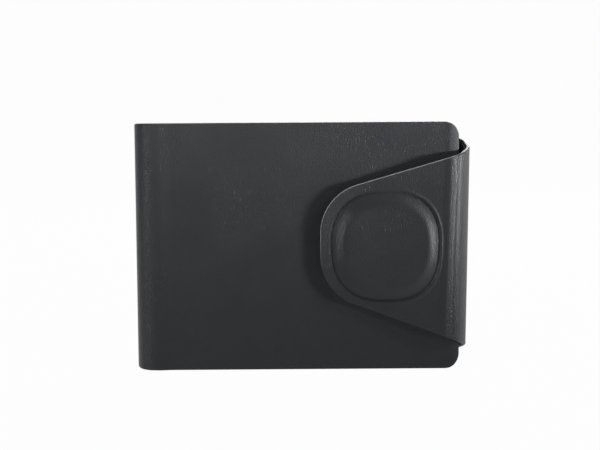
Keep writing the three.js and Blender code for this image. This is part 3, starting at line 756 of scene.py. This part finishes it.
def tip_curl(s, z):
    """Round the tip the margin outside the foot lifts off the cover at a constant slope."""
    return TIP_CURL * np.clip(-foot_distance(s, z), 0, CURL_REACH) * ease((s - CURL_FROM) / CURL_RUN)


def tongue_relief(s, z):
    """The dome's shoulder, less a groove and plus a lip towards the bend, both bell curves of the distance to
    the foot; the curl of the tip; and the relief of the front bend."""
    inside = foot_distance(s, z)
    width = DOME_SHOULDER + SOFTER_SHOULDER * ease((s - SOFTER_FROM) / SOFTER_RUN)
    groove = GROOVE_DEPTH * bell(inside, GROOVE_WIDTH)
    lip = LIP_RISE * bell(inside + LIP_AT, LIP_WIDTH) * ease((DOME_U - s) / LIP_RUN)
    return DOME_RISE * ease(inside / width) - groove + lip + tip_curl(s, z) + bend_relief(s, z)


def dome_hollow(s, z):
    """The hollow that takes the insert, a little smaller than the dome, and the curl of the tip."""
    a, b = DOME_LENGTH / 2 - HOLLOW_MARGIN, DOME_WIDTH / 2 - HOLLOW_MARGIN
    inside = squircle_distance(s - DOME_U, z - DOME_Z, a, b)
    return (DOME_RISE + DOME_SKIVE) * ease(inside / DOME_SHOULDER) + tip_curl(s, z)


print("dome over the tongue, mm:", tongue_relief(DOME_U, DOME_Z).round(2))

# %% Burnish, painted groove shade and painted edge highlight
GROOVE_SHADE_WIDTH, GROOVE_SHADE_LEAST, GROOVE_SHADE_MORE = 0.52, 0.3, 0.55
GROOVE_SHADE_RUN, GROOVE_SHADE_TILT = 20.0, 0.5  # run over which the painted groove shade deepens, and how far that leans with height
BURNISH_OUT, BURNISH_RISE = 0.2, 0.8  # begins this far outside the foot, and is full after this run
BURNISH_IN, BURNISH_FADE = 6.5, 3.0  # ends this far inside the foot, after fading over this run
BURNISH_LEAST, BURNISH_RUN = 0.4, 16.0
# painted highlight on the flap's upper edges: where it rises and where it starts
EDGE_LIGHT_RISE, EDGE_LIGHT_FROM, EDGE_LIGHT_RUN = 16.0, CREASE - 4.0, 6.0


def step_over(x, run):
    """Smooth step that is half done at x = 0: ease(x / run + 1 / 2)."""
    return ease(x / run + 0.5)


def pressed(s, z):
    """Painted shade in the groove, partly dye pooled there: a bell curve of the distance to the foot, more
    towards the tip and below.
    """
    deeper = step_over(s - DOME_U - GROOVE_SHADE_TILT * (z - DOME_Z), GROOVE_SHADE_RUN)
    return (GROOVE_SHADE_LEAST + GROOVE_SHADE_MORE * deeper) * bell(foot_distance(s, z), GROOVE_SHADE_WIDTH)


def burnished(s, z):
    """Leather that the press drew over the dome's shoulder is smoother and glossier, most towards the tip."""
    inside = foot_distance(s, z)
    on_shoulder = ease((inside + BURNISH_OUT) / BURNISH_RISE) * ease((BURNISH_IN - inside) / BURNISH_FADE)
    return on_shoulder * (BURNISH_LEAST + (1 - BURNISH_LEAST) * step_over(s - DOME_U, BURNISH_RUN))


def rubbed(s, z):
    """Painted highlight on the flap's painted edge: full along the tongue's upper edge, none below and round
    the bend.
    """
    return step_over(z - MIDDLE, EDGE_LIGHT_RISE) * ease((s - EDGE_LIGHT_FROM) / EDGE_LIGHT_RUN)


# share of painted groove shade, partly pooled dye, at the dome's lower edge
print("dye pooled in the groove at the dome's lower edge:", pressed(DOME_U, DOME_Z - DOME_WIDTH / 2).round(2))

# %% [markdown]
# ## The outer hide
# One strip would be closest to the real thing, but a piece bends between two bodies only. So the strip is cut
# on flat stretches, where a cut can't be seen: front cover with spine, back cover with the first flap bend,
# and the second bend with the tongue.

# %% Relief and wear of the cover
PROUD, PROUD_FROM, PROUD_RUN = 0.4, SPINE - 4.6, 5.2
PROUD_TO, PROUD_FADE = SPINE + 12.0, 10.0
RIDGE, RIDGE_AT, RIDGE_WIDTH = 0.1, FRONT + 0.3, 0.7
WRINKLED, WRINKLE_TURN = 0.4, 1.1  # share of the ridge that comes and goes, and radians per mm of height
WAVE, WAVE_ALONG, WAVE_UP, WAVE_SHIFT, WAVE_FADE = 0.05, 17.0, 23.0, 0.6, 10.0
CURL_WEAR, WEAR_TO, WEAR_FADE = -2.8, FRONT + 1.0, 3.0


def cover_relief(s, z):
    """The spine stands a little proud of the flat cover, a wrinkled ridge runs where the board ends before the
    curl, and the leather between is not quite flat: steps, a bell curve and a product of sines."""
    proud = PROUD * ease((s - PROUD_FROM) / PROUD_RUN) * ease((PROUD_TO - s) / PROUD_FADE)
    wrinkles = 1 - WRINKLED + WRINKLED * np.sin(WRINKLE_TURN * z)
    ridge = RIDGE * bell(s - RIDGE_AT, RIDGE_WIDTH) * wrinkles
    wave = WAVE * np.sin(s / WAVE_ALONG + WAVE_SHIFT) * np.sin(z / WAVE_UP)
    return proud + ridge + wave * ease(s / WAVE_FADE) * ease((SPINE - s) / WAVE_FADE)


def worn_curl(s, z):
    """The opposite of burnished: thumbs have rubbed the curl at the cover's free edge matt."""
    return CURL_WEAR * ease((WEAR_TO - s) / WEAR_FADE)


print("spine over the cover, mm:", cover_relief(PROUD_FROM + PROUD_RUN, MIDDLE).round(2))

# %% Three stretches of hide
BACK_CUT, SIDE_CUT = BACK + 4.0, (SIDE + FRONT_BEND) / 2
NEAR_EDGE, NEAR_FOLD = 3.0, 8.0  # mm, where the grid is closer
hide_outline = (hide_low, hide_high)

front_steps = joined(
    spaced(0, FRONT + NEAR_EDGE, step=0.3, free_start=True),
    spaced(FRONT + NEAR_EDGE, SPINE - NEAR_FOLD, step=0.9),
    spaced(SPINE - NEAR_FOLD, BACK_CUT, step=0.4),
)
front_hide = cut_sheet(
    "front_hide", front_steps, hide_outline, HIDE, free="start", rise=cover_relief, burnished=worn_curl
)
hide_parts("front_cover", "spine")

back_steps = joined(
    spaced(BACK_CUT, BACK_BEND - NEAR_FOLD, step=0.9), spaced(BACK_BEND - NEAR_FOLD, SIDE_CUT, step=0.3)
)
back_hide = cut_sheet("back_hide", back_steps, hide_outline, HIDE)
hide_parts("back_cover")

flap_steps = joined(
    spaced(SIDE_CUT, CREASE + NEAR_EDGE, step=0.17), spaced(CREASE + NEAR_EDGE, TIP, step=0.3, free_end=True)
)
flap_hide = cut_sheet(
    "flap_hide",
    flap_steps,
    tongue_outline(),
    HIDE,
    step=0.38,
    free="end",
    rise=tongue_relief,
    hollow=dome_hollow,
    # marks: painted shade in the dome's groove, and a painted highlight along the upper edges
    pressed=pressed,
    rubbed=rubbed,
    burnished=burnished,
)
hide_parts("flap_side", "flap_tongue")
for piece in (front_hide, back_hide, flap_hide):
    piece.data.materials.append(calf)

# %% [markdown]
# ## Folds
# A blend would turn the leather smoothly between two bodies, from a start point to an end point; an armature
# could do it with painted weights. Here the start and end points are worked out: each fold of the flap has its
# line on the outer face at the middle of a bend, and they lie FOLD_SPREAD before and after it along the path.
# The three stretches of hide have their placement baked into their meshes.

# %% Ends of the folds
FOLD_SPREAD = 5.0


def across_fold(fold):
    """Points FOLD_SPREAD before and after a fold along the path's direction there, in metres."""
    point, out = plan(np.array(fold))
    way = np.array([out[1], -out[0]]) * FOLD_SPREAD
    ends = {"start": point - way, "end": point + way}
    return {name: tuple(np.append(end, MIDDLE) / METRE) for name, end in ends.items()}


root_ends, crease_ends = across_fold(ROOT_FOLD), across_fold(FRONT_FOLD)
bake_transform(front_hide)
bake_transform(back_hide)
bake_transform(flap_hide)
for name, end in crease_ends.items():
    print(name, "of the flap's fold, mm:", (METRE * np.array(end)).round(1))

# %% [markdown]
# ## Linings
# The lining is laminated to the hide and follows it. Over the stiffening board it steps inwards, and near the
# edges it comes back to the hide, so that all that shows of the board is a soft step. It is cut a little
# smaller than the hide, which leaves a narrow border of leather. A cloth simulation could lay it, but glue
# holds it everywhere, so its depth is known, and so is the flat size that it was cut to.

# %% Lining sheets
LINING_INSET = 0.7
BOARD_START, BOARD_END, BOARD_FOOT = 5.0, FRONT_RUN - 5.0, 3.0
STEP_OUT, STEP_RUN = 1.9, 1.8  # the step begins this far outside the board, and is done after this run
STACK_END = FRONT_RUN - 1.0
glued = HIDE + GLUE


def over_board(start):
    """Depth of the lining: on the hide near the edges, and inside the board elsewhere, with a smooth step."""

    def depth(s, z):
        along = np.minimum(s - start - BOARD_START, start + BOARD_END - s)
        inside = np.minimum(along, np.minimum(z, HEIGHT - z) - BOARD_FOOT)
        return glued + (LINING_DEPTH - glued) * ease((inside + STEP_OUT) / STEP_RUN)

    return depth


def lining_sheet(name, s, outline, depth, held, on, step=1.2, free="", **relief):
    """A lining, with its flat cut stated: the largest height, and the length along the middle of the cloth."""
    piece = cut_sheet(name, s, outline, LINING, depth, step, free, **relief)
    steps = np.linalg.norm(np.diff(place(s, glued + LINING / 2, np.full_like(s, MIDDLE)), axis=0), axis=1)
    heights = (outline[1](s) - outline[0](s)) / METRE
    print(name, "flat, mm:", round(METRE * heights.max(), 1), "x", round(METRE * steps.sum(), 1))
    piece.data.materials.append(cloth)
    return piece


print("depth of the lining near the edges and over a board, mm:", round(glued, 2), round(LINING_DEPTH, 2))


# %% Linings of the covers
def inset_cut(s):
    """Height lost at the cover's free end: the inset, and a round corner that runs parallel to the hide's."""
    return LINING_INSET + corner_cut(s - LINING_INSET, CORNER_RADIUS - LINING_INSET)


back_outline = (lambda s: hide_low(s) + LINING_INSET), (lambda s: hide_high(s) - LINING_INSET)
front_lining = lining_sheet(
    "front_lining_cloth",
    joined(
        spaced(LINING_INSET, FRONT + NEAR_FOLD, step=0.4, free_start=True),
        spaced(FRONT + NEAR_FOLD, SPINE - NEAR_FOLD, step=1.2),
        spaced(SPINE - NEAR_FOLD, BACK, step=0.5),
    ),
    (inset_cut, lambda s: HEIGHT - inset_cut(s)),
    over_board(FRONT),
    held="folded",
    on=front_hide,
    free="start",
)
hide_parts("front_lining", "spine_lining")
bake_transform(front_lining)

back_cloth_steps = joined(
    spaced(BACK, BACK + NEAR_FOLD, step=0.5), spaced(BACK + NEAR_FOLD, BACK + STACK_END, step=1.2)
)
back_lining = lining_sheet(
    "back_lining_cloth", back_cloth_steps, back_outline, over_board(BACK), held="laid", on=back_hide
)
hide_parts("back_lining")
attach(back_lining, "back")

# %% Linings of the flap
side_cloth_steps = spaced(BACK + STACK_END, SIDE_CUT, step=0.35)
side_lining = lining_sheet(
    "flap_side_lining_cloth", side_cloth_steps, back_outline, glued, held="folded", on=back_hide
)
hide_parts("flap_side_lining")
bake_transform(side_lining)

past_crease = CREASE + 4.0
flap_cloth_steps = joined(
    spaced(SIDE_CUT, past_crease, step=0.3),
    spaced(past_crease, TIP - LINING_INSET, step=0.8, free_end=True),
)
flap_lining = lining_sheet(
    "flap_lining_cloth",
    flap_cloth_steps,
    tongue_outline(LINING_INSET),
    glued,
    held="folded",
    on=flap_hide,
    step=0.9,
    free="end",
    rise=tip_curl,
    hollow=tip_curl,
)
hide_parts("flap_lining")
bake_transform(flap_lining)

# %% [markdown]
# ## Card panels and slots
# Each half holds a panel of thin leather that closes the note pocket along its foot, and three card slots in
# steps. The mouth of each is creased with a hot iron, a narrow line that follows the edge. A bump in the
# finish could draw that line, but it would be lost in the mesh, so the crease is part of the surface, and the
# panel's step at its foot comes from its depth.

# %% Cut of a panel or slot
STACK_MARGIN, STACK_FOOT = 2.0, 1.0
PANEL_HEIGHT, PANEL_CORNER = 79.0, 4.0
SEAM_TOP, SEAM_SLOPE = STACK_FOOT + PANEL_CORNER + 4.0, 3.0
FIRST_SLOT, SLOT_STEP, SLOT_CORNER, SLOT_INSET = 67.0, 12.0, 3.0, 1.0
CREASE_AT, CREASE_DEPTH, CREASE_WIDTH = 1.7, 0.08, 0.28


def panel_depth(s, z):
    """Depth of the panel: on the lining along the foot, then out over SEAM_SLOPE to leave the note pocket."""
    seam = LINING_DEPTH + LINING + GLUE
    return seam + (PANEL_DEPTH - seam) * ease((z - SEAM_TOP) / SEAM_SLOPE)


def ironed(top):
    """A narrow trough CREASE_AT below the mouth on the face that is seen, which is the inner one."""

    def trough(s, z):
        return CREASE_DEPTH * bell(top - CREASE_AT - z, CREASE_WIDTH)

    return trough


def stack_sheet(name, node, body, start, end, top, radius, thickness, depth):
    """A rectangle of thin leather with four free edges and an ironed mouth, in place of its node."""
    s = spaced(start, end, step=0.9, free_start=True, free_end=True)
    outline = rectangle(start, end, STACK_FOOT, top, radius)
    piece = cut_sheet(name, s, outline, thickness, depth, step=0.6, free="start end", hollow=ironed(top))
    piece.data.materials.append(thin_calf)
    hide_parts(node)
    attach(piece, body)


print("mouths of the slots, mm up:", [FIRST_SLOT - i * SLOT_STEP for i in range(SLOT_COUNT)])

# %% Panels and slots of both halves
for body, zero in (("front", FRONT), ("back", BACK)):
    start, end = zero + STACK_MARGIN, zero + FRONT_RUN - STACK_MARGIN
    names = f"{body}_panel_leather", f"{body}_card_panel"
    stack_sheet(*names, body, start, end, STACK_FOOT + PANEL_HEIGHT, PANEL_CORNER, PANEL, panel_depth)
    for i in range(SLOT_COUNT):
        names = f"{body}_slot_leather_{i + 1}", f"{body}_card_slot_{i + 1}"
        top, depth = FIRST_SLOT - i * SLOT_STEP, SLOTS_DEPTH + i * (SLOT + CARD_GAP)
        stack_sheet(*names, body, start + SLOT_INSET, end - SLOT_INSET, top, SLOT_CORNER, SLOT, depth)

# %% [markdown]
# ## Stage
# The photograph is a studio packshot with white all round. A bare white world would show that too, but the
# wallet would float in it. So the stage is a paper sweep, a floor that curves up into a wall. The camera sees
# it white, and the little of it that is plain paper takes light and keeps the shadow.

# %% White paper
PAPER_WHITE = 0.98  # share of plain white that the camera sees; the rest is paper that takes light and shadow
PAPER_GREY = "#808080"
WHITE_FROM = -0.24, -0.1  # y where, as the wallet mirrors it, the floor turns from dull paper to white


def paper_white():
    """White for camera and transmission rays, and for mirrored ones from WHITE_FROM on; else diffuse paper."""
    material, tree = new_finish("white paper sweep")
    path = add_node(tree, "ShaderNodeLightPath").outputs
    camera, glossy, through = (path[f"Is {kind} Ray"] for kind in ("Camera", "Glossy", "Transmission"))
    at = add_node(tree, "ShaderNodeTexCoord").outputs["Object"]
    y = add_node(tree, "ShaderNodeSeparateXYZ", Vector=at).outputs["Y"]
    dull, bright = WHITE_FROM
    white_there = add_node(tree, SPREAD, Value=y, i1=dull, i2=bright, i3=0.0, i4=1.0).outputs[0]
    mirrored = add_node(tree, MATHS, TIMES, i0=glossy, i1=white_there).outputs[0]
    straight = add_node(tree, MATHS, LARGER, i0=camera, i1=through).outputs[0]
    seen = add_node(tree, MATHS, LARGER, i0=straight, i1=mirrored).outputs[0]
    share = add_node(tree, MATHS, TIMES, i0=seen, i1=PAPER_WHITE).outputs[0]
    paper = add_node(tree, "ShaderNodeBsdfDiffuse", Color=linear(PAPER_GREY)).outputs[0]
    white = add_node(tree, "ShaderNodeEmission", Strength=1.0).outputs[0]
    show(tree, add_node(tree, "ShaderNodeMixShader", i0=share, i1=paper, i2=white))
    return material


white_paper = paper_white()
print("paper nodes:", len(white_paper.node_tree.nodes))

# %% Floor and backdrop
SWEEP_STEPS = 24


def sweep(width, front, back, height, radius):
    """Floor and wall as one profile carried along x: flat, then a quarter circle, then upright."""
    turn = np.linspace(0, np.pi / 2, SWEEP_STEPS)
    y = np.concatenate([[front], back - radius + radius * np.sin(turn), [back]])
    z = np.concatenate([[0], radius - radius * np.cos(turn), [height]])
    grid = np.stack(np.broadcast_arrays(np.array([[-width / 2], [width / 2]]), y, z), -1)
    k = np.arange(len(y) - 1)
    mesh = bpy.data.meshes.new("paper_sweep")
    mesh.from_pydata(grid.reshape(-1, 3), [], np.stack([k, k + len(y), k + len(y) + 1, k + 1], -1))
    mesh.shade_smooth()
    return put_in_scene("paper_sweep", mesh)


floor = sweep(width=4.0, front=-1.5, back=1.2, height=2.0, radius=0.5)
floor.data.materials.append(white_paper)
print("floor faces:", len(floor.data.polygons))

# %% [markdown]
# ## Lights
# Dark satin leather shows its lamps. In the photograph the cover darkens downwards, the right bend and the
# right shoulder of the dome are bright, and a dim band lies on the dome's left. One large even light would
# flatten all that. A strip low on the right, with a grid and turned up, grades the cover with the edge of its
# beam; a box above it, a strip on the left and one over the top draw the shoulders and edges; and a box
# behind lights the back, which the photograph doesn't show.

# %% World
WORLD_STRENGTH = 0.03
world = bpy.data.worlds.new("studio")
bpy.context.scene.world = world
world.use_nodes = True
backdrop = world.node_tree.nodes["Background"]
backdrop.inputs["Color"].default_value = (1, 1, 1, 1)
# The camera sees plain white beyond the paper; the wallet is lit by a little of it only.
camera_ray = add_node(world.node_tree, "ShaderNodeLightPath").outputs["Is Camera Ray"]
fill = add_node(world.node_tree, SPREAD, Value=camera_ray, i3=WORLD_STRENGTH, i4=1.0).outputs[0]
world.node_tree.links.new(fill, backdrop.inputs["Strength"])
print("strength of the world on the wallet:", WORLD_STRENGTH)

# %% Softboxes and strips
WALLET_CENTRE = Vector((0.0, 0.0, MIDDLE / METRE))


def soft_light(name, azimuth, elevation, distance, width, height, power, spread=180.0, feather=0.0):
    """A softbox that faces the wallet, azimuth degrees right of the camera's side and elevation above it. A
    grid may narrow its beam to a spread, and feathering turns it up: the beam's edge then grades the light."""
    lamp = bpy.data.lights.new(name, "AREA")
    lamp.shape, lamp.size, lamp.size_y, lamp.energy = "RECTANGLE", width, height, power
    lamp.spread = np.radians(spread)
    light = put_in_scene(name, lamp)
    az, el = np.radians(azimuth), np.radians(elevation)
    away = Vector((np.sin(az) * np.cos(el), -np.cos(az) * np.cos(el), np.sin(el)))
    turned_up = Matrix.Rotation(np.radians(feather), 4, "X")
    light.matrix_world = (
        Matrix.LocRotScale(WALLET_CENTRE + distance * away, away.to_track_quat("Z", "Y"), None) @ turned_up
    )
    print(name, "at", [round(v, 2) for v in light.matrix_world.translation])


# Degrees right and up; metres away, wide and high; watts.
soft_light("right_strip", 67, -1, 1.3, 0.2, 0.14, 18.6, spread=40.0, feather=17.8)
soft_light("right_high_softbox", 62, 30, 0.8, 0.12, 0.16, 1.8)
soft_light("left_strip", -51, 8, 0.7, 0.06, 0.3, 2.4)
soft_light("top_strip", 0, 78, 0.26, 0.5, 0.06, 0.25)
soft_light("back_softbox", 165, 30, 0.8, 0.4, 0.4, 7.5)

# %% [markdown]
# ## Camera
# The camera stands square to the wallet and a little above it. Its lens, tilt and distance were fitted to the
# outline in the photograph. A shifted lens could frame the wallet too, but the shift would follow the camera
# to every other view, so the camera is aimed instead.

# %% Camera
FOCAL, SENSOR = 54.0, 36.0
PITCH, ROLL, REACH = np.radians(6.0), np.radians(-0.4), 0.3025
AIM = Vector((0.0, -0.0062, 0.0497))
camera_data = bpy.data.cameras.new("packshot")
camera_data.lens, camera_data.sensor_width = FOCAL, SENSOR
camera_data.clip_start, camera_data.clip_end = 0.01, 20.0
camera = put_in_scene("packshot", camera_data)
tilt = Matrix.Rotation(np.pi / 2 - PITCH, 4, "X") @ Matrix.Rotation(ROLL, 4, "Z")
stand = AIM + REACH * Vector((0, -np.cos(PITCH), np.sin(PITCH)))
camera.matrix_world = Matrix.Translation(stand) @ tilt
bpy.context.scene.camera = camera
bpy.context.scene.view_settings.view_transform = "Standard"
print("camera at, m:", [round(v, 3) for v in stand])
